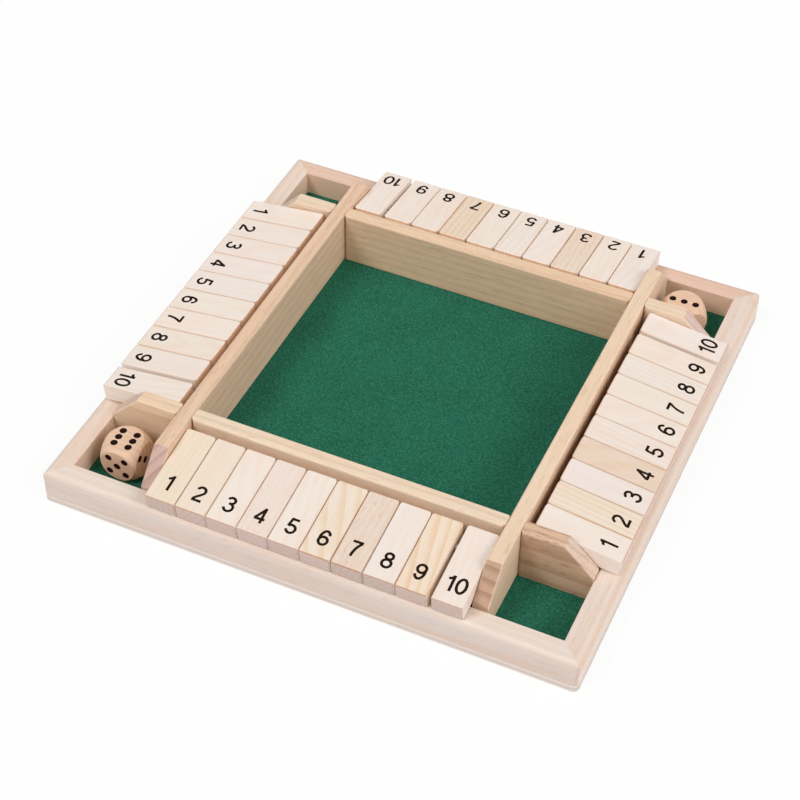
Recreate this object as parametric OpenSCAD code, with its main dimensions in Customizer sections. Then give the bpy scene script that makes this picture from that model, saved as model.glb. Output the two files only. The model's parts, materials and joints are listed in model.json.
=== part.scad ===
// Four-sided shut the box game: a square board with a raised frame, and on
// each side a row of ten numbered tiles that tip inwards about a steel rod.
// The board stands on Z = 0 with its centre over the origin; players sit at
// -Y (front), +X (right), +Y (back) and -X (left).

/* [Base and rails] */
// Thickness of the base board
base_t = 3.4; // [3:0.1:6]
// Height of the rails over the base board
rail_h = 11.5; // [10:0.5:14]
// Width of the rails
rail_w = 9.6; // [8.4:0.1:12]
// Radius of the rails' rounded top outer edge
rail_round = 3.4; // [2:0.1:4]
// Radius of the board's upright corners
corner_r = 3; // [1:0.1:4]
// How far a tile's lower edge lies inside the board's outer face
rail_show = 2.2; // [1.6:0.1:5]
// Radius of the small eased edges of the base and rails
board_ease = 0.5; // [0.3:0.1:0.8]

/* [Felt] */
// Thickness of the felt
felt_t = 0.6; // [0.4:0.1:1.2]
// Space between the felt's edge and the rails
felt_gap = 0.1; // [0.05:0.05:0.5]

/* [Inner frame] */
// Thickness of the inner walls
wall_t = 6.4; // [5.6:0.1:8]
// Height of the inner walls over the rails
wall_rise = 13.6; // [12.6:0.1:16]
// Height over the rails at which the walls' sloping ends meet them
wall_end_rise = 1.4; // [0.8:0.1:3]
// Radius of the walls' eased top edges
wall_ease = 0.8; // [0.4:0.1:1.2]
// Radius of the upright edges where one wall butts against another
butt_ease = 1.6; // [1:0.1:2]

/* [Tiles] */
// Length of a tile
tile_len = 35.3; // [33:0.1:38]
// Width of a tile
tile_w = 12.63; // [12.2:0.01:13.2]
// Thickness of a tile
tile_t = 7.3; // [6.4:0.1:8]
// Space between two tiles
tile_gap = 0.3; // [0.2:0.05:0.6]
// Play left over in a row of tiles
row_play = 1.3; // [0.2:0.1:2]
// How steeply the tiles slope down outwards, in degrees
tile_slope = 7.4; // [6:0.1:10]
// Radius of the eased edges across a tile's ends
tile_ease = 0.9; // [0.3:0.1:1.2]
// Radius of the eased edges along a tile
tile_arris = 0.4; // [0.2:0.1:0.8]
// Radius of the upright edges at a tile's inner end
tile_end_r = 2; // [1:0.1:2.5]
// Space between a tile's lower edge and the rail that it comes down on
tile_rest = 0.1; // [0.05:0.05:0.3]

/* [Rods] */
// Diameter of the hinge rods
rod_d = 3; // [2.5:0.1:3.6]
// Distance from a tile's inner end to its rod
rod_inset = 9; // [8:0.1:10]
// Space that a tile's inner end keeps from the wall as it swings
swing_gap = 1.6; // [1:0.1:3]
// Depth of the rods' holes in the walls
rod_hole = 4; // [3:0.1:5]
// Running clearance around a rod in the tiles
rod_run = 0.08; // [0.05:0.01:0.1]
// Clearance around a rod in the walls, where it is glued
rod_seat = 0.03; // [0.02:0.01:0.05]

/* [Dice] */
// Width of a die across its faces
die_w = 16; // [14:0.5:17]
// Diameter of the sphere that rounds a die's corners
die_round = 21.5; // [20.8:0.1:23]
// Diameter of a pip
pip_d = 3; // [2.4:0.1:3.2]
// Depth of a pip
pip_deep = 0.8; // [0.4:0.1:1]
// Turn of the back die on its base, in degrees
back_die_turn = -45; // [-45:5:135]

/* [Hidden] */
$fn = 48;
tiles_per_row = 10;
rows = ["front", "right", "back", "left"];
// Tile after which each row's play lies, in the order of the rows
play_after = [9, 9, 9, 9];
// Room that a cutting solid has beyond what it cuts
over = 1;

// Heights
rail_top = base_t + rail_h;
felt_top = base_t + felt_t;
wall_top = rail_top + wall_rise;
wall_h = wall_top - felt_top;
// How far an eased lower edge at a tile's outer end lies under the rod's axis
tile_drop = (tile_len - rod_inset - tile_ease) * sin(tile_slope)
    + (tile_t / 2 - tile_ease) * cos(tile_slope) + tile_ease;
rod_z = rail_top + tile_rest + tile_drop;

// Distances from the board's centre
tray_w = tiles_per_row * tile_w + (tiles_per_row + 1) * tile_gap + row_play;
wall_in = tray_w / 2;
wall_mid = wall_in + wall_t / 2;
wall_out = wall_in + wall_t;
rod_out = wall_out + swing_gap + norm([rod_inset, tile_t / 2]);
tile_reach = rod_out + (tile_len - rod_inset) * cos(tile_slope) - tile_t / 2 * sin(tile_slope);
board_out = tile_reach + rail_show;
rail_in = board_out - rail_w;
board_w = 2 * board_out;
// The sloping ends fall at 45 degrees to the rails' inner faces
slope_start = rail_in - wall_rise + wall_end_rise;

// Dice: the pockets' middle, where each die lies in its pocket, and the pips
pocket_mid = (wall_out + rail_in) / 2;
front_die_at = [-0.9, 1.5];
back_die_at = [-2.5, -1.7];
pip_sphere = (pow(pip_d / 2, 2) + pow(pip_deep, 2)) / (2 * pip_deep);
pip_step = 0.222 * die_w;
six_column = 0.88;

// ---- Shapes that repeat ----

// Rectangle from the origin with its corners rounded, anticlockwise from the origin
module eased_rect(w, h, r) {
    polygon([
        [r[0], 0], [w - r[1], 0], [w, r[1]], [w, h - r[2]],
        [w - r[2], h], [r[3], h], [0, h - r[3]], [0, r[0]]
    ]);
    centres = [[r[0], r[0]], [w - r[1], r[1]], [w - r[2], h - r[2]], [r[3], h - r[3]]];
    for (i = [0 : 3]) translate(centres[i]) circle(r[i]);
}

// Bar along X, centred on the origin in X, with the section that its children draw in Y and Z
module bar(len) {
    translate([-len / 2, 0, 0]) rotate([90, 0, 90]) linear_extrude(len) children();
}

// Upright block over the board's outline
module board_block(h) {
    linear_extrude(h) translate([-board_out, -board_out])
        eased_rect(board_w, board_w, [for (i = [0 : 3]) corner_r]);
}

// ---- Base, felt and rails ----

// Eased sheet section, as long as the board is wide
module base_section() {
    translate([-board_out, 0]) eased_rect(board_w, base_t, [for (i = [0 : 3]) board_ease]);
}

module base_board() {
    color("BurlyWood") intersection() {
        board_block(base_t);
        bar(board_w) base_section();
        rotate([0, 0, 90]) bar(board_w) base_section();
    }
}

module felt_lining() {
    felt_out = rail_in - felt_gap;
    color("DarkGreen") translate([-felt_out, -felt_out, base_t])
        cube([2 * felt_out, 2 * felt_out, felt_t]);
}

// Front rail, cut at 45 degrees at both ends; the others are turned copies of it
module rail(side) {
    color("Wheat") rotate([0, 0, 90 * side]) intersection() {
        translate([0, -board_out, base_t]) bar(board_w)
            eased_rect(rail_w, rail_h, [board_ease, board_ease, board_ease, rail_round]);
        board_block(rail_top);
        linear_extrude(rail_top) polygon([
            [-board_out, -board_out], [board_out, -board_out], [rail_in, -rail_in], [-rail_in, -rail_in]
        ]);
    }
}

// ---- Inner frame ----

// Bar with the walls' eased top, its top edge at Z = 0 and centred on the X axis
module wall_stock(len, h) {
    translate([0, -wall_t / 2, -h]) bar(len)
        eased_rect(wall_t, h, [wall_ease / 2, wall_ease / 2, wall_ease, wall_ease]);
}

// Wall along X between two ends, whose upright edges have the radii near_r and far_r
module wall_blank(from, to, near_r, far_r) {
    intersection() {
        translate([(from + to) / 2, 0, wall_top]) wall_stock(to - from, wall_h);
        translate([from, -wall_t / 2, felt_top]) linear_extrude(wall_h)
            eased_rect(to - from, wall_t, [near_r, far_r, far_r, near_r]);
    }
}

// Stock whose top is the 45 degree slope at a wall's far end, deep enough to hold the wall
module sloping_stock() {
    translate([slope_start, 0, wall_top]) rotate([0, 45, 0]) wall_stock(2 * board_w, board_w);
}

// Blind hole for a rod, in the face at the origin and going in along X
module rod_socket() {
    translate([-over, 0, 0]) rotate([0, 90, 0]) cylinder(h = rod_hole + over, r = rod_d / 2 + rod_seat);
}

// Puts a piece made for the right-hand side on the side that is asked for
module on_side(side) {
    mirror([side < 0 ? 1 : 0, 0, 0]) children();
}

// The left and right walls run from rail to rail and slope down at both ends
module long_wall(side) {
    color("Tan") on_side(side) difference() {
        translate([wall_mid, 0, 0]) rotate([0, 0, 90]) intersection() {
            wall_blank(-rail_in, rail_in, wall_ease / 2, wall_ease / 2);
            sloping_stock();
            mirror([1, 0, 0]) sloping_stock();
        }
        for (end = [-1, 1]) translate([wall_in, end * rod_out, rod_z]) rod_socket();
    }
}

// The front and back walls close the tray between the long walls
module cross_wall(side) {
    color("Tan") translate([0, side * wall_mid, 0])
        wall_blank(-wall_in, wall_in, butt_ease, butt_ease);
}

// Dividers carry the side rods' ends and part the corner pockets from the tiles
module divider(side, end) {
    color("Tan") on_side(side) mirror([0, end < 0 ? 1 : 0, 0]) difference() {
        translate([0, wall_mid, 0]) intersection() {
            wall_blank(wall_out, rail_in, butt_ease, wall_ease / 2);
            sloping_stock();
        }
        translate([rod_out, wall_in, rod_z]) rotate([0, 0, 90]) rod_socket();
    }
}

// ---- Rods and tiles ----

// Puts a piece made for the front row, at its rod's middle, in the row that is asked for
module in_row(side) {
    rotate([0, 0, 90 * side]) translate([0, -rod_out, rod_z]) children();
}

// Round rod that reaches almost to the bottom of its holes
module rod(side) {
    rod_len = tray_w + 2 * rod_hole - 2 * rod_seat;
    color("Silver") in_row(side) rotate([0, 90, 0])
        cylinder(h = rod_len, d = rod_d, center = true);
}

// Left edge of tile n, seen from its own side of the board
function tile_left(side, n) =
    -wall_in + tile_gap + (n - 1) * (tile_w + tile_gap) + (n > play_after[side] ? row_play : 0);

// Tile about its rod's axis, its outer end towards -Y, with all its edges eased
module tile_blank() {
    tile_inner = rod_inset - tile_len;
    intersection() {
        // seen from the side
        bar(tile_w) translate([tile_inner, -tile_t / 2])
            eased_rect(tile_len, tile_t, [for (i = [0 : 3]) tile_ease]);
        // seen from above
        translate([-tile_w / 2, tile_inner, -tile_t / 2]) linear_extrude(tile_t)
            eased_rect(tile_w, tile_len, [tile_ease, tile_ease, tile_end_r, tile_end_r]);
        // seen from its end
        translate([-tile_w / 2, rod_inset, -tile_t / 2]) rotate([90, 0, 0]) linear_extrude(tile_len)
            eased_rect(tile_w, tile_t, [for (i = [0 : 3]) tile_arris]);
    }
}

module tile(side, n) {
    color("AntiqueWhite") in_row(side)
        translate([tile_left(side, n) + tile_w / 2, 0, 0]) rotate([tile_slope, 0, 0]) difference() {
            tile_blank();
            rotate([0, 90, 0]) cylinder(h = tile_w + 2 * over, r = rod_d / 2 + rod_run, center = true);
        }
}

// ---- Dice ----

// Places of the pips on a face that shows the number n, in steps from its middle;
// the six stands in two columns, a little closer together than its rows are long
function pip_spots(n) = n == 6
    ? [for (column = [-six_column, six_column], row = [-1 : 1]) [column, row]]
    : concat(
        n % 2 == 1 ? [[0, 0]] : [],
        n > 1 ? [[-1, -1], [1, 1]] : [],
        n > 3 ? [[-1, 1], [1, -1]] : []
    );

// Spheres that sink the pips of the number n into the top face of a die about the origin
module pips(n) {
    for (spot = pip_spots(n))
        translate([spot[0] * pip_step, spot[1] * pip_step, die_w / 2 + pip_sphere - pip_deep])
            sphere(pip_sphere);
}

// Die about its middle, with six on top, five in front and three on the right
module die() {
    difference() {
        intersection() {
            cube(die_w, center = true);
            sphere(d = die_round);
        }
        pips(6);
        rotate([90, 0, 0]) pips(5);
        rotate([0, 90, 0]) pips(3);
        rotate([0, -90, 0]) pips(4);
        rotate([-90, 0, 0]) pips(2);
        rotate([180, 0, 0]) pips(1);
    }
}

module front_die() {
    color("Peru") translate([
        front_die_at[0] - pocket_mid, front_die_at[1] - pocket_mid, felt_top + die_w / 2
    ]) die();
}

// The back die lies with its three on top
module back_die() {
    color("Peru") translate([
        back_die_at[0] + pocket_mid, back_die_at[1] + pocket_mid, felt_top + die_w / 2
    ]) rotate([0, 0, back_die_turn]) rotate([0, -90, 0]) die();
}

// ---- Nodes ----

base_board();
felt_lining();
for (side = [0 : 3]) rail(side);
long_wall(-1);  // left_long_wall
long_wall(1);  // right_long_wall
cross_wall(-1);  // front_cross_wall
cross_wall(1);  // back_cross_wall
divider(-1, -1);  // front_left_divider
divider(1, -1);  // front_right_divider
divider(1, 1);  // back_right_divider
divider(-1, 1);  // back_left_divider
for (side = [0 : 3]) rod(side);
front_die();
back_die();
for (side = [0 : 3], n = [1 : tiles_per_row])
    tile(side, n);
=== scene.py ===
"""Dresses the four-sided shut the box game: wood, felt, steel, painted numbers and dice."""

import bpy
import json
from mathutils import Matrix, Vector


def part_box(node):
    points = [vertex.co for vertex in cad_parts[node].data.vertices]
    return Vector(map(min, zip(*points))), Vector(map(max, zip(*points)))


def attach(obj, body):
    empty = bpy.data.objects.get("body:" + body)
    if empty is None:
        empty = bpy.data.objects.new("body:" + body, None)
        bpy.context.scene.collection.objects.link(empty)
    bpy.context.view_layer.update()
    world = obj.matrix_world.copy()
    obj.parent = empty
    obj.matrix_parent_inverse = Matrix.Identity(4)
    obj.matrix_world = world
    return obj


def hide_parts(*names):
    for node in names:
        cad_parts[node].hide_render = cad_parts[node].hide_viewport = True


bl_info = {
    "name": "Shut the Box",
    "version": (1, 0, 0),
    "blender": (4, 5, 0),
    "location": "3D View > Sidebar > Shut the Box",
    "description": "Finishes the pieces of a four-sided shut the box game",
    "category": "Object",
}

import json
import math
import random

import bpy
from bpy.props import FloatProperty, FloatVectorProperty, IntProperty, PointerProperty
from mathutils import Matrix, Vector

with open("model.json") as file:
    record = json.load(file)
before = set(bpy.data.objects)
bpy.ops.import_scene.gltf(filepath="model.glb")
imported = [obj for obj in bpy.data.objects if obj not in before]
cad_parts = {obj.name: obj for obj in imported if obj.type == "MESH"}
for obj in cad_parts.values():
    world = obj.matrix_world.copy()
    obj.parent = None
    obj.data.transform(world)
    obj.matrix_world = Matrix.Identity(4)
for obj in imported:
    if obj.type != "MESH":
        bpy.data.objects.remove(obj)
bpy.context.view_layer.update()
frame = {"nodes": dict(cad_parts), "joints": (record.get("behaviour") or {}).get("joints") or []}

MM = 0.001
SIDES = ("front", "right", "back", "left")
TILES_PER_ROW = 10
HINGES = {joint["child"]: joint for joint in frame["joints"] if joint["type"] == "hinge"}
TILE_THICK = 7.3 * MM
TILE_SLOPE = math.radians(7.4)


# ---- Settings ----

def colour(name, description, value):
    """Colour setting with its default."""
    return FloatVectorProperty(
        name=name, description=description, subtype="COLOR", size=3, min=0, max=1, default=value)


def length(name, description, millimetres):
    """Length setting, its default given in millimetres."""
    return FloatProperty(
        name=name, description=description, default=millimetres * MM, min=0, unit="LENGTH")


class WoodSettings(bpy.types.PropertyGroup):
    """Colours and figure of the pine"""
    tile_pale: colour("Tile pale", "Early wood of the tiles", (0.89, 0.805, 0.745))
    tile_deep: colour("Tile deep", "Late wood of the tiles", (0.82, 0.60, 0.40))
    tile_end: colour("Tile end", "End grain at the tiles' outer ends", (0.635, 0.50, 0.46))
    tile_heel: colour("Tile heel", "End grain at the tiles' inner ends", (0.84, 0.60, 0.44))
    rail_pale: colour("Rail pale", "Early wood of the rails", (0.805, 0.705, 0.645))
    rail_deep: colour("Rail deep", "Late wood of the rails", (0.72, 0.53, 0.40))
    # Painted light: the rails' inner faces are painted warmer and redder than the rail, standing in for light
    # that falls short in the pockets
    rail_inner: colour("Rail inner", "Inner faces of the rails", (0.90, 0.66, 0.50))
    wall_pale: colour("Wall pale", "Early wood of the inner walls", (0.81, 0.635, 0.47))
    wall_deep: colour("Wall deep", "Late wood of the inner walls", (0.55, 0.36, 0.22))
    base_pale: colour("Base pale", "Outer layers of the base board", (0.79, 0.70, 0.65))
    base_deep: colour("Base deep", "Core of the base board", (0.58, 0.50, 0.46))
    warmth: colour("Warmth", "What the warmer patches' colour is multiplied by", (1.0, 0.9, 0.82))
    # Painted shade: what the colour of the eased edges is multiplied by, darker and warmer, standing in for
    # the shade where they turn into the gaps between parts
    edge: colour("Edge", "What a sanded edge's colour is multiplied by", (0.77, 0.54, 0.36))
    end_line: colour("End line", "What late wood's colour is multiplied by on end grain", (0.62, 0.5, 0.45))
    tile_rings: length("Tile rings", "Distance between two growth rings in a tile", 2.4)
    frame_rings: length("Frame rings", "Distance between two growth rings in the frame", 3.4)


class DetailSettings(bpy.types.PropertyGroup):
    """Felt, steel, paint and dice"""
    felt: colour("Felt", "Ground colour of the felt", (0.0097, 0.11, 0.067))
    felt_fleck: colour("Felt fleck", "Lighter fibres of the felt", (0.06, 0.27, 0.17))
    steel: colour("Steel", "Hinge rods", (0.46, 0.43, 0.40))
    ink: colour("Ink", "Printed numbers", (0.016, 0.008, 0.004))
    pip_ink: colour("Pip ink", "Paint in the pips of the dice", (0.016, 0.004, 0.005))
    die_pale: colour("Die pale", "Light wood of the dice", (0.86, 0.60, 0.44))
    die_deep: colour("Die deep", "Dark wood of the dice", (0.55, 0.34, 0.18))
    number_height: length("Number height", "Height of the digits", 7.1)
    number_stroke: length("Number stroke", "Width of the digits' strokes", 1.14)
    ink_thick: length("Ink thickness", "How far the ink stands up", 0.03)
    felt_cells: IntProperty(
        name="Felt cells", description="Cells along the felt's side", default=150, min=10)


class StageSettings(bpy.types.PropertyGroup):
    """Camera and light"""
    azimuth: FloatProperty(
        name="Azimuth", description="Turn of the view to the left", default=math.radians(23.508),
        subtype="ANGLE")
    elevation: FloatProperty(
        name="Elevation", description="How far the view looks down",
        default=math.radians(44.566), subtype="ANGLE")
    roll: FloatProperty(
        name="Roll", description="Turn about the line of sight", default=math.radians(1.202),
        subtype="ANGLE")
    place: FloatVectorProperty(
        name="Place", description="Where the camera stands", size=3, unit="LENGTH",
        default=(0.21393, -0.5117, 0.54809))
    lens: FloatProperty(name="Lens", description="Focal length", default=85.11, unit="CAMERA")
    key: FloatProperty(name="Key", description="Strength of the light from the left", default=1.25)
    fill: FloatProperty(name="Fill", description="Strength of the light from the right", default=1.3)
    sky: FloatProperty(name="Sky", description="Strength of the light all round", default=0.43)


# ---- Small helpers ----

def settings(name):
    """Settings group of that name in the scene."""
    return getattr(bpy.context.scene, name)


def deselect():
    """Leaves nothing selected, so that an operator acts on its own piece only."""
    for item in list(bpy.context.selected_objects):
        item.select_set(False)


def finish_piece(piece, name, body, material):
    """Names a new piece, paints it and makes it ride on its body."""
    piece.name = name
    piece.data.name = name
    piece.data.materials.clear()
    piece.data.materials.append(material)
    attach(piece, body)
    return piece


def dress(node, material):
    """Gives a carried-over node its material."""
    item = frame["nodes"][node]
    if not item.material_slots:
        item.data.materials.append(material)
    for place in item.material_slots:
        place.material = material


# ---- Shader building ----

def add(tree, kind, values=None, **options):
    """New shader node: options are its own settings, values its inputs or what feeds them."""
    item = tree.nodes.new(kind)
    for key, value in options.items():
        setattr(item, key, value)
    for key, value in (values or {}).items():
        if isinstance(value, bpy.types.NodeSocket):
            tree.links.new(value, item.inputs[key])
        else:
            item.inputs[key].default_value = value
    return item


def maths(tree, operation, first, second=0.0, third=0.0):
    """Output of one math node."""
    return add(tree, "ShaderNodeMath", {0: first, 1: second, 2: third}, operation=operation).outputs[0]


def vector_maths(tree, operation, first, second=(0.0, 0.0, 0.0), out="Vector"):
    """Output of one vector math node."""
    return add(tree, "ShaderNodeVectorMath", {0: first, 1: second}, operation=operation).outputs[out]


def band(tree, value, low, high):
    """Rises smoothly from 0 to 1 between low and high."""
    return add(
        tree, "ShaderNodeMapRange", {"Value": value, "From Min": low, "From Max": high},
        interpolation_type="SMOOTHSTEP").outputs["Result"]


def blend_colours(tree, factor, first, second, mode="MIX"):
    """Mix of two colours."""
    item = add(tree, "ShaderNodeMix", {0: factor, 6: first, 7: second}, data_type="RGBA", blend_type=mode)
    return item.outputs[2]


def rgba(value, gain=1.0):
    """Colour with its alpha."""
    return (min(value[0] * gain, 1), min(value[1] * gain, 1), min(value[2] * gain, 1), 1)


def noise(tree, vector, scale, detail=2.0, roughness=0.5, out="Fac"):
    """Output of one noise texture."""
    return add(
        tree, "ShaderNodeTexNoise",
        {"Vector": vector, "Scale": scale, "Detail": detail, "Roughness": roughness}).outputs[out]


def start_group(name, inputs, outputs):
    """Empty shader node group with named float or vector sockets."""
    group = bpy.data.node_groups.new(name, "ShaderNodeTree")
    for key, kind, value in inputs:
        socket = group.interface.new_socket(key, in_out="INPUT", socket_type=kind)
        if value is not None:
            socket.default_value = value
    for key, kind in outputs:
        group.interface.new_socket(key, in_out="OUTPUT", socket_type=kind)
    return group, group.nodes.new("NodeGroupInput").outputs, group.nodes.new("NodeGroupOutput").inputs


def pine_figure():
    """Group: growth rings about the Z axis, fibres along it and broad changes of tone."""
    if "Pine figure" in bpy.data.node_groups:
        return bpy.data.node_groups["Pine figure"]
    group, given, wanted = start_group(
        "Pine figure",
        [("Vector", "NodeSocketVector", None), ("Ring width", "NodeSocketFloat", 3.0),
         ("Wobble", "NodeSocketFloat", 3.0)],
        [("Rings", "NodeSocketFloat"), ("Fibres", "NodeSocketFloat"), ("Tone", "NodeSocketFloat"),
         ("Dashes", "NodeSocketFloat")])
    place = given["Vector"]
    stretched = vector_maths(group, "MULTIPLY", place, (0.05, 0.05, 0.012))
    swirl = noise(group, stretched, 1.0, 3.0, 0.5, "Color")
    swirl = vector_maths(group, "SUBTRACT", swirl, (0.5, 0.5, 0.5))
    push = add(
        group, "ShaderNodeVectorMath", {0: swirl, "Scale": given["Wobble"]}, operation="SCALE").outputs[0]
    wavy = vector_maths(group, "ADD", place, push)
    across = vector_maths(group, "MULTIPLY", wavy, (1.0, 1.0, 0.0))
    radius = vector_maths(group, "LENGTH", across, out="Value")
    ring = maths(group, "FRACT", maths(group, "DIVIDE", radius, given["Ring width"]))
    rise = band(group, ring, 0.35, 0.92)
    fall = band(group, ring, 1.0, 0.92)
    group.links.new(maths(group, "MULTIPLY", rise, fall), wanted["Rings"])
    fine = vector_maths(group, "MULTIPLY", wavy, (2.6, 2.6, 0.07))
    group.links.new(noise(group, fine, 1.0, 4.0, 0.65), wanted["Fibres"])
    broad = vector_maths(group, "MULTIPLY", wavy, (0.28, 0.28, 0.012))
    group.links.new(noise(group, broad, 1.0, 2.0), wanted["Tone"])
    short = vector_maths(group, "MULTIPLY", wavy, (1.5, 1.5, 0.16))
    group.links.new(band(group, noise(group, short, 1.0, 3.0, 0.6), 0.58, 0.7), wanted["Dashes"])
    return group


def start_material(name):
    """New node material: its tree and its Principled shader."""
    material = bpy.data.materials.new(name)
    material.use_nodes = True
    return material, material.node_tree, material.node_tree.nodes["Principled BSDF"]


def relief(tree, height, distance):
    """Normal of a surface raised by height over the distance."""
    return add(
        tree, "ShaderNodeBump", {"Height": height, "Distance": distance, "Strength": 1.0}).outputs["Normal"]


# Turns that bring a piece's grain direction onto the figure's Z axis
GRAIN_TURN = {"X": (0.0, -math.pi / 2, 0.0), "Y": (math.pi / 2, 0.0, 0.0)}


def wood_place(tree, grain, seed, tilt=0.03):
    """Object coordinates in millimetres, laid in the log as the seed says, grain along Z."""
    draw = random.Random(seed)
    turn = GRAIN_TURN[grain[-1]]
    turn = tuple(angle + draw.uniform(-tilt, tilt) for angle in turn)
    away = draw.uniform(22, 80)
    bearing = draw.uniform(0, 2 * math.pi)
    shift = (away * math.cos(bearing), away * math.sin(bearing), draw.uniform(-900, 900))
    objects = add(tree, "ShaderNodeTexCoord").outputs["Object"]
    return add(
        tree, "ShaderNodeMapping",
        {"Vector": objects, "Location": shift, "Rotation": turn, "Scale": (1 / MM, 1 / MM, 1 / MM)}
    ).outputs["Vector"]


def worked_faces():
    """Group: how far a face shows end grain, whether it faces along the grain's direction or against
    it, and how far it is a sanded edge between two faces."""
    if "Worked faces" in bpy.data.node_groups:
        return bpy.data.node_groups["Worked faces"]
    group, given, wanted = start_group(
        "Worked faces",
        [("Normal", "NodeSocketVector", None), ("Grain", "NodeSocketVector", None)],
        [("End", "NodeSocketFloat"), ("Far end", "NodeSocketFloat"), ("Edge", "NodeSocketFloat")])
    along = vector_maths(group, "DOT_PRODUCT", given["Normal"], given["Grain"], out="Value")
    group.links.new(band(group, maths(group, "ABSOLUTE", along), 0.4, 0.7), wanted["End"])
    group.links.new(band(group, along, -0.1, 0.1), wanted["Far end"])
    upright = add(group, "ShaderNodeSeparateXYZ", {0: vector_maths(group, "ABSOLUTE", given["Normal"])})
    level = vector_maths(group, "MULTIPLY", given["Normal"], (1.0, 1.0, 0.0))
    level = vector_maths(group, "LENGTH", level, out="Value")
    most = maths(group, "MAXIMUM", upright.outputs["Z"], level)
    group.links.new(band(group, most, 0.98, 0.8), wanted["Edge"])
    return group


GRAIN_AXIS = {"X": (1.0, 0.0, 0.0), "Y": (0.0, 1.0, 0.0), "-X": (-1.0, 0.0, 0.0), "-Y": (0.0, -1.0, 0.0)}


def wood_material(name, colours, grain, seed, rings, figure=0.5, streak=0.12, dashes=0.0, mottle=0.3,
                  edge=0.5, wobble=1.6, end_rings=0.3):
    """Sanded pine. The colours are early wood, late wood and the two ends. Figure and end_rings are the
    strength of its rings, streak of its fibres, dashes of its short dark pores and mottle of its warmer
    patches."""
    wood = settings("pine")
    pale, deep, near_end, far_end = colours
    material, tree, shader = start_material(name)
    log = add(tree, "ShaderNodeGroup", node_tree=pine_figure())
    tree.links.new(wood_place(tree, grain, seed), log.inputs["Vector"])
    log.inputs["Ring width"].default_value = rings / MM
    log.inputs["Wobble"].default_value = wobble
    parts = log.outputs
    ringed = maths(tree, "MULTIPLY", parts["Rings"], figure)
    tone = maths(tree, "MULTIPLY", parts["Tone"], 0.4 * figure)
    mask = add(
        tree, "ShaderNodeMath", {0: ringed, 1: tone}, operation="ADD", use_clamp=True).outputs[0]
    sawn = blend_colours(tree, mask, rgba(pale), rgba(deep))
    faces = add(tree, "ShaderNodeGroup", node_tree=worked_faces())
    tree.links.new(add(tree, "ShaderNodeTexCoord").outputs["Normal"], faces.inputs["Normal"])
    faces.inputs["Grain"].default_value = GRAIN_AXIS[grain]
    ends = blend_colours(tree, faces.outputs["Far end"], rgba(near_end), rgba(far_end))
    share = maths(tree, "MULTIPLY", parts["Rings"], end_rings)
    ends = blend_colours(tree, share, ends, rgba(wood.end_line), "MULTIPLY")
    base = blend_colours(tree, faces.outputs["End"], sawn, ends)
    share = maths(tree, "MULTIPLY", band(tree, parts["Tone"], 0.4, 0.62), mottle)
    base = blend_colours(tree, share, base, rgba(wood.warmth), "MULTIPLY")
    # Painted shade: the eased edges are darkened and warmed, standing in for the shade where they turn into
    # the gaps between parts
    share = maths(tree, "MULTIPLY", faces.outputs["Edge"], edge)
    base = blend_colours(tree, share, base, rgba(wood.edge), "MULTIPLY")
    dark = maths(tree, "MULTIPLY", band(tree, parts["Fibres"], 0.45, 0.8), streak)
    base = blend_colours(tree, dark, base, rgba(deep, 0.55))
    pores = maths(tree, "MULTIPLY", parts["Dashes"], dashes)
    base = blend_colours(tree, pores, base, rgba(deep, 0.7))
    tree.links.new(base, shader.inputs["Base Color"])
    rough = add(
        tree, "ShaderNodeMapRange", {"Value": parts["Fibres"], "To Min": 0.5, "To Max": 0.68})
    tree.links.new(rough.outputs["Result"], shader.inputs["Roughness"])
    tree.links.new(relief(tree, parts["Fibres"], 0.04 * MM), shader.inputs["Normal"])
    return material


# ---- Base, rails and walls ----

# Thickness of one ply of the base board in millimetres, and how strongly the core shows
PLY_THICK = 1.13
CORE_SHARE = 0.6


def base_material():
    """Thin plywood: pale faces with a darker core that shows at the edges."""
    wood = settings("pine")
    material = wood_material(
        "base_plywood", (wood.base_pale, wood.base_deep, wood.base_pale, wood.base_pale), "X", 11,
        wood.frame_rings, figure=0.2, streak=0.1, edge=0.0)
    tree = material.node_tree
    shader = tree.nodes["Principled BSDF"]
    face = shader.inputs["Base Color"].links[0].from_socket
    height = add(tree, "ShaderNodeSeparateXYZ", {0: add(tree, "ShaderNodeTexCoord").outputs["Object"]})
    ply = maths(tree, "DIVIDE", height.outputs["Z"], PLY_THICK * MM)
    core = maths(tree, "MULTIPLY", band(tree, ply, 0.92, 1.05), band(tree, ply, 2.05, 1.92))
    core = maths(tree, "MULTIPLY", core, CORE_SHARE)
    tree.links.new(blend_colours(tree, core, face, rgba(wood.base_deep)), shader.inputs["Base Color"])
    return material


# How the rails differ: direction of the grain, way inwards, tint, figure, mottle
RAIL_LOOKS = {
    "front_rail": ("X", (0.0, 1.0, 0.0), (1.05, 1.06, 1.05), 0.2, 0.5),
    "right_rail": ("Y", (-1.0, 0.0, 0.0), (1.03, 1.02, 1.01), 0.22, 0.8),
    "back_rail": ("X", (0.0, -1.0, 0.0), (1.02, 0.86, 0.77), 0.25, 0.5),
    "left_rail": ("Y", (1.0, 0.0, 0.0), (1.06, 1.03, 1.0), 0.2, 0.7),
}

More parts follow.
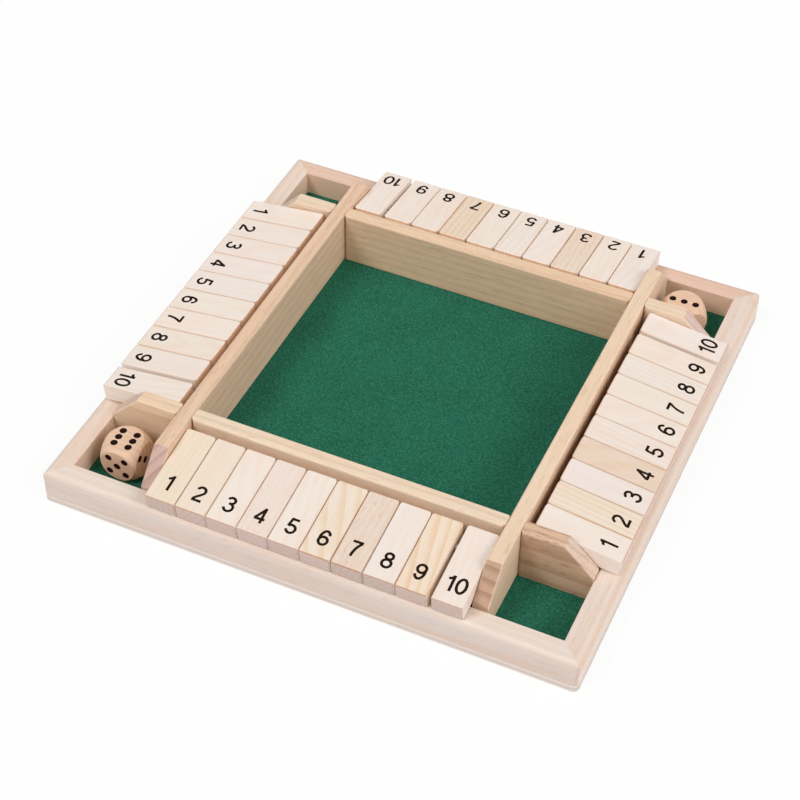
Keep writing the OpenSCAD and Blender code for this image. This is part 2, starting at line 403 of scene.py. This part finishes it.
# How the inner walls differ: direction of the grain, tint, end grain, figure, dashes, rings on the ends
WALL_LOOKS = {
    "left_long_wall": ("Y", (1.06, 0.99, 0.97), (0.64, 0.445, 0.405), 0.25, 0.4, 0.5),
    "right_long_wall": ("Y", (1.12, 1.12, 1.14), (0.55, 0.36, 0.255), 0.25, 0.3, 0.7),
    "front_cross_wall": ("X", (1.12, 1.17, 1.22), (0.72, 0.55, 0.43), 0.25, 0.3, 0.3),
    "back_cross_wall": ("X", (1.09, 1.03, 0.98), (0.72, 0.55, 0.43), 0.25, 0.4, 0.3),
    "front_left_divider": ("X", (1.14, 1.13, 1.1), (0.75, 0.58, 0.49), 0.3, 0.3, 0.3),
    "front_right_divider": ("X", (1.0, 0.9, 0.88), (0.80, 0.63, 0.53), 0.6, 1.0, 0.3),
    "back_right_divider": ("X", (1.12, 1.16, 1.22), (0.77, 0.61, 0.54), 0.2, 0.2, 0.3),
    "back_left_divider": ("X", (1.12, 1.16, 1.22), (0.74, 0.58, 0.49), 0.2, 0.2, 0.3),
}


# Faces painted darker than the rest of their piece, as painted shade that balances the light: the way each
# looks, and its tint
PAINTED_SHADE_FACES = {
    "front_rail": ((0.0, -1.0, 0.0), (0.87, 0.85, 0.87)),
    "front_right_divider": ((0.0, -1.0, 0.0), (0.84, 0.84, 0.84)),
}


def tinted(value, tint):
    """Colour multiplied by a tint."""
    return tuple(part * share for part, share in zip(value, tint))


def one_face(material, direction, colour, share=1.0, mode="MULTIPLY"):
    """Change the colour of the face that looks in the direction."""
    tree = material.node_tree
    shader = tree.nodes["Principled BSDF"]
    planed = shader.inputs["Base Color"].links[0].from_socket
    normal = add(tree, "ShaderNodeTexCoord").outputs["Normal"]
    mask = band(tree, vector_maths(tree, "DOT_PRODUCT", normal, direction, out="Value"), 0.4, 0.9)
    mask = maths(tree, "MULTIPLY", mask, share)
    tree.links.new(blend_colours(tree, mask, planed, rgba(colour), mode), shader.inputs["Base Color"])


class SHUTBOX_OT_frame_wood(bpy.types.Operator):
    """Finish the base board, the rails and the inner walls"""
    bl_idname = "shutbox.frame_wood"
    bl_label = "Frame Wood"

    def execute(self, context):
        wood = settings("pine")
        dress("base_board", base_material())
        for index, (node, (grain, inwards, tint, figure, mottle)) in enumerate(RAIL_LOOKS.items()):
            pale = tinted(wood.rail_pale, tint)
            end = tinted(pale, (0.9, 0.85, 0.86))
            rail = wood_material(
                node + "_pine", (pale, tinted(wood.rail_deep, tint), end, end), grain, 20 + index,
                wood.frame_rings, figure, streak=0.12, dashes=0.3, mottle=mottle, edge=0.06)
            # Painted light on the rails' inner faces, mixed over three quarters of the wood's colour
            one_face(rail, inwards, wood.rail_inner, 0.75, "MIX")
            dress(node, rail)
        for index, (node, (grain, tint, end, figure, dashes, end_rings)) in enumerate(WALL_LOOKS.items()):
            wall = wood_material(
                node + "_pine", (tinted(wood.wall_pale, tint), tinted(wood.wall_deep, tint), end, end),
                grain, 40 + index, wood.frame_rings, figure, streak=0.4, dashes=dashes, edge=0.06,
                end_rings=end_rings)
            dress(node, wall)
        # Painted shade on the front rail's outer face and the front right divider's front face
        for node, (direction, tint) in PAINTED_SHADE_FACES.items():
            one_face(frame["nodes"][node].active_material, direction, tint)
        return {"FINISHED"}


# ---- Felt ----

# Height of the felt's nap in millimetres, and the shares of its dark and light fibres
FELT_NAP = 0.06
DARK_FIBRES = 0.7
LIGHT_FIBRES = 0.56


def felt_material():
    """Pressed wool: short fibres in every direction, a few of them lighter."""
    look = settings("details")
    material, tree, shader = start_material("green_felt")
    objects = add(tree, "ShaderNodeTexCoord").outputs["Object"]
    place = vector_maths(tree, "SCALE", objects)
    place.node.inputs["Scale"].default_value = 1 / MM
    fuzz = noise(tree, place, 1.05, 6.0, 0.8)
    cloud = noise(tree, place, 0.045, 3.0, 0.6)
    warped = vector_maths(tree, "ADD", place, noise(tree, place, 0.35, 2.0, 0.5, "Color"))
    strands = add(
        tree, "ShaderNodeTexVoronoi", {"Vector": warped, "Scale": 0.9, "Randomness": 1.0},
        feature="DISTANCE_TO_EDGE").outputs["Distance"]
    fleck = maths(tree, "MULTIPLY", band(tree, fuzz, 0.5, 0.72), band(tree, strands, 0.16, 0.0))
    ground = blend_colours(tree, band(tree, cloud, 0.35, 0.65), rgba(look.felt, 0.93), rgba(look.felt, 1.1))
    ground = blend_colours(
        tree, maths(tree, "MULTIPLY", band(tree, fuzz, 0.5, 0.3), DARK_FIBRES), ground, rgba(look.felt, 0.4))
    light = maths(tree, "MULTIPLY", band(tree, fuzz, 0.38, 0.72), LIGHT_FIBRES)
    ground = blend_colours(tree, light, ground, rgba(look.felt_fleck))
    base = blend_colours(tree, maths(tree, "MULTIPLY", fleck, 0.8), ground, rgba(look.felt_fleck, 1.2))
    tree.links.new(base, shader.inputs["Base Color"])
    tree.links.new(relief(tree, fuzz, 0.25 * MM), shader.inputs["Normal"])
    shader.inputs["Roughness"].default_value = 0.95
    shader.inputs["Specular IOR Level"].default_value = 0.15
    shader.inputs["Sheen Weight"].default_value = 0.12
    shader.inputs["Sheen Roughness"].default_value = 0.6
    shader.inputs["Sheen Tint"].default_value = rgba(look.felt_fleck)
    return material


class SHUTBOX_OT_felt(bpy.types.Operator):
    """Lay the felt on the base board"""
    bl_idname = "shutbox.felt"
    bl_label = "Felt"

    def execute(self, context):
        low, high = (Vector(corner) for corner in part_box("felt_lining"))
        side = high.x - low.x
        nap = FELT_NAP * MM
        cells = settings("details").felt_cells
        deselect()
        bpy.ops.mesh.primitive_grid_add(
            x_subdivisions=cells, y_subdivisions=cells, size=side, location=(0, 0, high.z))
        felt = context.object
        bpy.ops.object.transform_apply(location=True)
        texture = bpy.data.textures.new("felt_nap", "CLOUDS")
        texture.noise_scale = 4 * MM
        bumps = felt.modifiers.new("nap", "DISPLACE")
        bumps.texture = texture
        bumps.texture_coords = "LOCAL"
        bumps.strength = nap
        bumps.mid_level = 1.0
        thick = felt.modifiers.new("thickness", "SOLIDIFY")
        thick.thickness = high.z - low.z - nap
        thick.offset = -1
        for modifier in ("nap", "thickness"):
            bpy.ops.object.modifier_apply(modifier=modifier)
        finish_piece(felt, "felt_sheet", "board", felt_material())
        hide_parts("felt_lining")
        return {"FINISHED"}


# ---- Rods ----

class SHUTBOX_OT_rods(bpy.types.Operator):
    """Finish the steel hinge rods"""
    bl_idname = "shutbox.rods"
    bl_label = "Rods"

    def execute(self, context):
        material, tree, shader = start_material("drawn_steel")
        objects = add(tree, "ShaderNodeTexCoord").outputs["Object"]
        drawn = noise(tree, objects, 900.0, 3.0)
        spots = noise(tree, objects, 160.0, 2.0)
        steel = settings("details").steel
        base = blend_colours(tree, band(tree, spots, 0.4, 0.75), rgba(steel), rgba(steel, 0.7))
        tree.links.new(base, shader.inputs["Base Color"])
        rough = add(tree, "ShaderNodeMapRange", {"Value": drawn, "To Min": 0.3, "To Max": 0.5})
        tree.links.new(rough.outputs["Result"], shader.inputs["Roughness"])
        shader.inputs["Metallic"].default_value = 0.9
        for side in SIDES:
            dress(side + "_rod", material)
        return {"FINISHED"}


# ---- Tiles ----

# Tiles that stand out from the rest: figure, streak, dashes, brightness, redness and yellowness
ODD_TILES = {
    "front_tile_1": (0.2, 0.08, 0.0, 0.99, 0.1, 1.2),
    "front_tile_2": (0.15, 0.08, 0.0, 0.99, 0.1, 0.9),
    "front_tile_3": (0.12, 0.06, 0.0, 1.01, 0.2, 0.1),
    "front_tile_4": (0.15, 0.1, 0.2, 0.98, 0.9, 0.1),
    "front_tile_5": (0.15, 0.06, 0.0, 1.01, 0.0, 0.0),
    "front_tile_6": (0.5, 0.15, 0.0, 1.0, 0.0, 0.8),
    "front_tile_7": (0.3, 0.25, 0.5, 0.95, 1.3, 0.6),
    "front_tile_9": (0.75, 0.2, 0.0, 1.02, 0.6, 1.2),
    "front_tile_10": (0.12, 0.06, 0.0, 1.01, 0.2, 0.0),
    "right_tile_2": (0.45, 0.1, 0.0, 1.0, 0.0, 0.9),
    "right_tile_4": (0.3, 0.2, 0.1, 0.95, 1.3, 1.1),
    "back_tile_3": (0.4, 0.15, 0.4, 0.96, 1.1, 0.7),
    "back_tile_7": (0.6, 0.2, 0.1, 0.96, 0.8, 1.1),
}


# The way that each row's tiles point, then painted light: how much lighter each row's tiles and the end grain
# of their outer ends are painted, standing in for the uneven light on the four rows
ROW_WAYS_AND_PAINTED_LIGHT = {
    "front": ("-Y", 1.0, 1.0), "right": ("X", 1.0, 1.24), "back": ("Y", 1.05, 1.1), "left": ("-X", 1.03, 1.1),
}


class SHUTBOX_OT_tiles(bpy.types.Operator):
    """Finish the forty tiles, each cut from its own place in the wood"""
    bl_idname = "shutbox.tiles"
    bl_label = "Tiles"

    def execute(self, context):
        wood = settings("pine")
        for row, side in enumerate(SIDES):
            outwards, row_painted_light, end_painted_light = ROW_WAYS_AND_PAINTED_LIGHT[side]
            for number in range(1, TILES_PER_ROW + 1):
                node = f"{side}_tile_{number}"
                seed = 100 + 20 * row + number
                draw = random.Random(seed)
                look = (draw.uniform(0.03, 0.25), draw.uniform(0.03, 0.1), draw.uniform(0.0, 0.1),
                        draw.uniform(0.99, 1.02), draw.uniform(-0.3, 0.4), draw.uniform(-0.3, 0.4))
                figure, streak, dashes, gain, red, yellow = ODD_TILES.get(node, look)
                # Painted light: the tiles of the rows that lean away from the light are painted lighter
                gain *= row_painted_light
                shift = red * Vector((0.0, -0.035, -0.03)) + yellow * Vector((0.0, -0.02, -0.08))
                # Painted light: the end grain of the outer ends is painted lighter by row, most on the right
                # row
                colours = (
                    gain * (Vector(wood.tile_pale) + shift), gain * Vector(wood.tile_deep),
                    wood.tile_heel, (end_painted_light + draw.uniform(-0.06, 0.06)) * Vector(wood.tile_end))
                # Painted shade of a random strength along each tile's eased edges
                dress(node, wood_material(
                    node + "_pine", colours, outwards, seed, wood.tile_rings, figure, streak, dashes,
                    mottle=0.3, edge=draw.uniform(0.5, 1.0), wobble=0.8, end_rings=0.18))
        return {"FINISHED"}


# ---- Numbers ----

def arc(centre_x, centre_y, reach_x, reach_y, start, end, steps=20):
    """Points along a stretch of an ellipse, angles in degrees."""
    points = []
    for step in range(steps + 1):
        angle = math.radians(start + (end - start) * step / steps)
        points.append((centre_x + reach_x * math.cos(angle), centre_y + reach_y * math.sin(angle)))
    return points


def half_turn(strokes):
    """Strokes turned upside down about the middle of a digit."""
    return [[(2 * DIGIT_MIDDLE - x, 1 - y) for x, y in stroke] for stroke in strokes]


# Digits as pen strokes, in units of their height; x runs from 0 to 0.54
DIGIT_MIDDLE = 0.27
DIGIT_STEP = 0.58
DIGIT_SPREAD = 1.2
# From the rod to the digits' feet, in the order of the rows
NUMBER_FEET = (20.9 * MM, 22.3 * MM, 23.2 * MM, 22.7 * MM)
SIX = [
    arc(0.275, 0.31, 0.2, 0.245, 0, 360, 32),
    arc(0.285, 0.5, 0.21, 0.435, 190, 28),
]
DIGITS = {
    "0": [arc(0.27, 0.5, 0.205, 0.435, 0, 360, 32)],
    "1": [[(0.315, 0.0), (0.315, 1.0)], arc(0.09, 1.0, 0.22, 0.235, 0, -90)],
    "2": [
        arc(0.27, 0.705, 0.195, 0.23, 168, -35) + [(0.33, 0.44), (0.2, 0.3), (0.11, 0.18), (0.07, 0.07)],
        [(0.03, 0.063), (0.5, 0.063)],
    ],
    "3": [
        arc(0.255, 0.745, 0.175, 0.192, 165, -90) + [(0.19, 0.553)],
        arc(0.255, 0.308, 0.208, 0.245, 90, -168),
    ],
    "4": [[(0.375, 0.0), (0.375, 1.0)], [(0.375, 0.95), (0.05, 0.28)], [(0.02, 0.27), (0.52, 0.27)]],
    "5": [
        [(0.11, 0.937), (0.47, 0.937)],
        [(0.145, 0.96), (0.09, 0.46)],
        arc(0.265, 0.315, 0.208, 0.252, 145, -165),
    ],
    "6": SIX,
    "7": [
        [(0.03, 0.937), (0.51, 0.937)],
        [(0.48, 0.93), (0.36, 0.73), (0.27, 0.5), (0.215, 0.25), (0.195, 0.0)],
    ],
    "8": [arc(0.27, 0.752, 0.168, 0.185, 0, 360, 32), arc(0.27, 0.3, 0.208, 0.237, 0, 360, 32)],
    "9": half_turn(SIX),
}


def ink_material():
    """Black printing ink, a little uneven."""
    material, tree, shader = start_material("number_ink")
    ink = settings("details").ink
    objects = add(tree, "ShaderNodeTexCoord").outputs["Object"]
    worn = band(tree, noise(tree, objects, 2600.0, 3.0), 0.5, 0.8)
    tree.links.new(blend_colours(tree, worn, rgba(ink), rgba(ink, 3.0)), shader.inputs["Base Color"])
    shader.inputs["Roughness"].default_value = 0.6
    shader.inputs["Specular IOR Level"].default_value = 0.1
    return material


def pen_strokes(text):
    """Mesh of a number written flat about the origin, its foot on the X axis."""
    look = settings("details")
    deselect()
    bpy.ops.curve.primitive_bezier_curve_add(location=(0, 0, 0))
    pen = bpy.context.object
    line = pen.data
    line.splines.clear()
    line.dimensions = "3D"
    middle = DIGIT_STEP * (len(text) - 1) / 2
    for place, digit in enumerate(text):
        for stroke in DIGITS[digit]:
            closed = len(stroke) > 2 and math.dist(stroke[0], stroke[-1]) < 1e-6
            points = stroke[:-1] if closed else stroke
            spline = line.splines.new("POLY")
            spline.points.add(len(points) - 1)
            spline.use_cyclic_u = closed
            for point, (x, y) in zip(spline.points, points):
                x = (x - DIGIT_MIDDLE) * DIGIT_SPREAD + DIGIT_STEP * place - middle
                point.co = (x * look.number_height, y * look.number_height, 0, 1)
    line.bevel_depth = look.number_stroke / 2
    line.bevel_resolution = 1
    line.use_fill_caps = True
    bpy.ops.object.convert(target="MESH")
    bpy.ops.transform.resize(value=(1, 1, look.ink_thick / (look.number_stroke / 2)))
    bpy.ops.object.transform_apply(scale=True)
    return bpy.context.object


def tile_frame(node):
    """Matrix from a tile's own axes, its outer end along -Y from the rod, to its place at rest."""
    hinge = HINGES[node]
    axis = Vector(hinge["axis"])
    low, high = (Vector(corner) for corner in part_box(node))
    middle = (low + high) / 2
    rod = Vector(hinge["pos_m"])
    along = Vector((abs(axis.x), abs(axis.y), 0))
    origin = rod + along * (middle - rod).dot(along)
    turn = math.atan2(-axis.y, -axis.x)
    return Matrix.Translation(origin) @ Matrix.Rotation(turn, 4, "Z") @ Matrix.Rotation(TILE_SLOPE, 4, "X")


class SHUTBOX_OT_numbers(bpy.types.Operator):
    """Print the numbers on the tiles, upright for the player on each side"""
    bl_idname = "shutbox.numbers"
    bl_label = "Numbers"

    def execute(self, context):
        ink = ink_material()
        patterns = {n: pen_strokes(str(n)) for n in range(1, TILES_PER_ROW + 1)}
        for row, side in enumerate(SIDES):
            for number, pattern in patterns.items():
                node = f"{side}_tile_{number}"
                draw = random.Random(500 + 20 * row + number)
                slip = Vector((draw.uniform(-0.25, 0.25), draw.uniform(-0.2, 0.2), 0)) * MM
                twist = Matrix.Rotation(math.radians(draw.uniform(-1.5, 1.5)), 4, "Z")
                foot = Vector((0, -NUMBER_FEET[row], TILE_THICK / 2))
                piece = pattern.copy()
                piece.data = pattern.data.copy()
                context.collection.objects.link(piece)
                piece.data.transform(tile_frame(node) @ Matrix.Translation(foot + slip) @ twist)
                finish_piece(piece, node + "_number", node, ink)
        for pattern in patterns.values():
            bpy.data.objects.remove(pattern)
        return {"FINISHED"}


# ---- Dice ----

# In millimetres: radius of the sphere that rounds the dice, and how far under a surface a pip's ink starts
DIE_ROUND = 10.75
UNDER_ROUND = 0.06
UNDER_FACE = 0.04


def die_material(name, node, turn, seed):
    """Smooth wood with ink in the pips, which are what lies inside both the cube and the sphere."""
    look = settings("details")
    material = wood_material(
        name, (look.die_pale, look.die_deep, look.die_pale, look.die_pale), "X", seed,
        settings("pine").tile_rings, figure=0.18, streak=0.25, edge=0.0)
    tree = material.node_tree
    shader = tree.nodes["Principled BSDF"]
    wood = shader.inputs["Base Color"].links[0].from_socket
    low, high = (Vector(corner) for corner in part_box(node))
    middle = (low + high) / 2
    half = (high.z - low.z) / 2
    objects = add(tree, "ShaderNodeTexCoord").outputs["Object"]
    about = vector_maths(tree, "SUBTRACT", objects, tuple(middle))
    about = add(tree, "ShaderNodeMapping", {"Vector": about, "Rotation": (0, 0, -turn)}).outputs["Vector"]
    sizes = add(tree, "ShaderNodeSeparateXYZ", {0: vector_maths(tree, "ABSOLUTE", about)})
    reach = maths(tree, "MAXIMUM", sizes.outputs["X"], sizes.outputs["Y"])
    reach = maths(tree, "MAXIMUM", reach, sizes.outputs["Z"])
    round_reach = vector_maths(tree, "LENGTH", about, out="Value")
    below_face = maths(tree, "LESS_THAN", reach, half - UNDER_FACE * MM)
    below_round = maths(tree, "LESS_THAN", round_reach, DIE_ROUND * MM - UNDER_ROUND * MM)
    pips = maths(tree, "MULTIPLY", below_face, below_round)
    tree.links.new(blend_colours(tree, pips, wood, rgba(look.pip_ink)), shader.inputs["Base Color"])
    tree.links.new(maths(tree, "MULTIPLY_ADD", pips, -0.4, 0.5), shader.inputs["Specular IOR Level"])
    return material


class SHUTBOX_OT_dice(bpy.types.Operator):
    """Finish the dice and ink their pips"""
    bl_idname = "shutbox.dice"
    bl_label = "Dice"

    def execute(self, context):
        dress("front_die", die_material("front_die_wood", "front_die", 0.0, 81))
        dress("back_die", die_material("back_die_wood", "back_die", -math.pi / 4, 82))
        return {"FINISHED"}


# ---- Stage ----

# Floor's paleness and glow, the light's warmth, and where each light comes from and how wide it is in degrees
FLOOR_PALE = 0.96
FLOOR_GLOW = 0.9
LIGHT_WARMTH = (1.0, 0.985, 0.965)
KEY_FROM = ((-0.4, -0.5, 0.77), 24)
FILL_FROM = ((0.77, -0.1, 0.63), 40)


def floor_material():
    """Pale floor that the camera sees almost white, with the object's shadow kept."""
    material, tree, shader = start_material("pale_floor")
    shader.inputs["Base Color"].default_value = (FLOOR_PALE, FLOOR_PALE, FLOOR_PALE, 1)
    shader.inputs["Roughness"].default_value = 0.9
    shader.inputs["Specular IOR Level"].default_value = 0.0
    glow = add(tree, "ShaderNodeEmission", {"Color": (1, 1, 1, 1), "Strength": 1.0})
    path = add(tree, "ShaderNodeLightPath").outputs
    seen = maths(tree, "MAXIMUM", path["Is Camera Ray"], path["Is Glossy Ray"])
    seen = maths(tree, "MAXIMUM", seen, path["Is Transmission Ray"])
    share = maths(tree, "MULTIPLY", seen, FLOOR_GLOW)
    mixed = add(tree, "ShaderNodeMixShader", {0: share, 1: shader.outputs[0], 2: glow.outputs[0]})
    tree.links.new(mixed.outputs[0], tree.nodes["Material Output"].inputs["Surface"])
    return material


def build_world(strength):
    """Even sky: its strength lights the object, and the camera sees it white."""
    world = bpy.data.worlds.new("studio_sky")
    bpy.context.scene.world = world
    world.use_nodes = True
    tree = world.node_tree
    sky = tree.nodes["Background"]
    sky.inputs["Color"].default_value = (*LIGHT_WARMTH, 1)
    path = add(tree, "ShaderNodeLightPath").outputs
    seen = maths(tree, "MAXIMUM", path["Is Camera Ray"], path["Is Transmission Ray"])
    level = add(tree, "ShaderNodeMapRange", {"Value": seen, "To Min": strength, "To Max": 1.0})
    tree.links.new(level.outputs["Result"], sky.inputs["Strength"])


def soft_sun(name, strength, comes_from):
    """Distant light, with the direction that it comes from and its width."""
    direction, spread = Vector(comes_from[0]), comes_from[1]
    deselect()
    bpy.ops.object.light_add(type="SUN", location=direction)
    sun = bpy.context.object
    sun.name = name
    sun.data.energy = strength
    sun.data.angle = math.radians(spread)
    sun.data.color = LIGHT_WARMTH
    sun.rotation_euler = direction.to_track_quat("Z", "Y").to_euler()


class SHUTBOX_OT_stage(bpy.types.Operator):
    """Set up the floor, the light and the camera"""
    bl_idname = "shutbox.stage"
    bl_label = "Stage"

    def execute(self, context):
        view = settings("stage")
        deselect()
        bpy.ops.mesh.primitive_plane_add(size=8, location=(0, 0, 0))
        floor = context.object
        floor.name = "floor"
        floor.data.materials.append(floor_material())
        build_world(view.sky)
        soft_sun("key_light", view.key, KEY_FROM)
        soft_sun("fill_light", view.fill, FILL_FROM)
        deselect()
        bpy.ops.object.camera_add(location=view.place)
        camera = context.object
        camera.data.lens = view.lens
        camera.data.sensor_width = 36
        camera.data.clip_start = 0.01
        turn = Matrix.Rotation(view.azimuth, 4, "Z") @ Matrix.Rotation(math.pi / 2 - view.elevation, 4, "X")
        camera.rotation_euler = (turn @ Matrix.Rotation(view.roll, 4, "Z")).to_euler()
        context.scene.camera = camera
        context.scene.view_settings.view_transform = "Standard"
        return {"FINISHED"}


# ---- Panel and registration ----

OPERATORS = (
    SHUTBOX_OT_stage, SHUTBOX_OT_frame_wood, SHUTBOX_OT_felt, SHUTBOX_OT_rods, SHUTBOX_OT_tiles,
    SHUTBOX_OT_numbers, SHUTBOX_OT_dice,
)
GROUPS = {"pine": WoodSettings, "details": DetailSettings, "stage": StageSettings}


class SHUTBOX_PT_panel(bpy.types.Panel):
    """Lists the settings and the steps"""
    bl_idname = "SHUTBOX_PT_panel"
    bl_label = "Shut the Box"
    bl_space_type = "VIEW_3D"
    bl_region_type = "UI"
    bl_category = "Shut the Box"

    def draw(self, context):
        for name, group in GROUPS.items():
            box = self.layout.box()
            for key in group.__annotations__:
                box.prop(getattr(context.scene, name), key)
        for operator in OPERATORS:
            self.layout.operator(operator.bl_idname)


def register():
    for item in (*GROUPS.values(), *OPERATORS, SHUTBOX_PT_panel):
        bpy.utils.register_class(item)
    for name, group in GROUPS.items():
        setattr(bpy.types.Scene, name, PointerProperty(type=group))


def unregister():
    for name in GROUPS:
        delattr(bpy.types.Scene, name)
    for item in reversed((*GROUPS.values(), *OPERATORS, SHUTBOX_PT_panel)):
        bpy.utils.unregister_class(item)


def main():
    """Builds everything in order."""
    register()
    for operator in OPERATORS:
        group, name = operator.bl_idname.split(".")
        getattr(getattr(bpy.ops, group), name)()


if __name__ == "__main__":
    main()
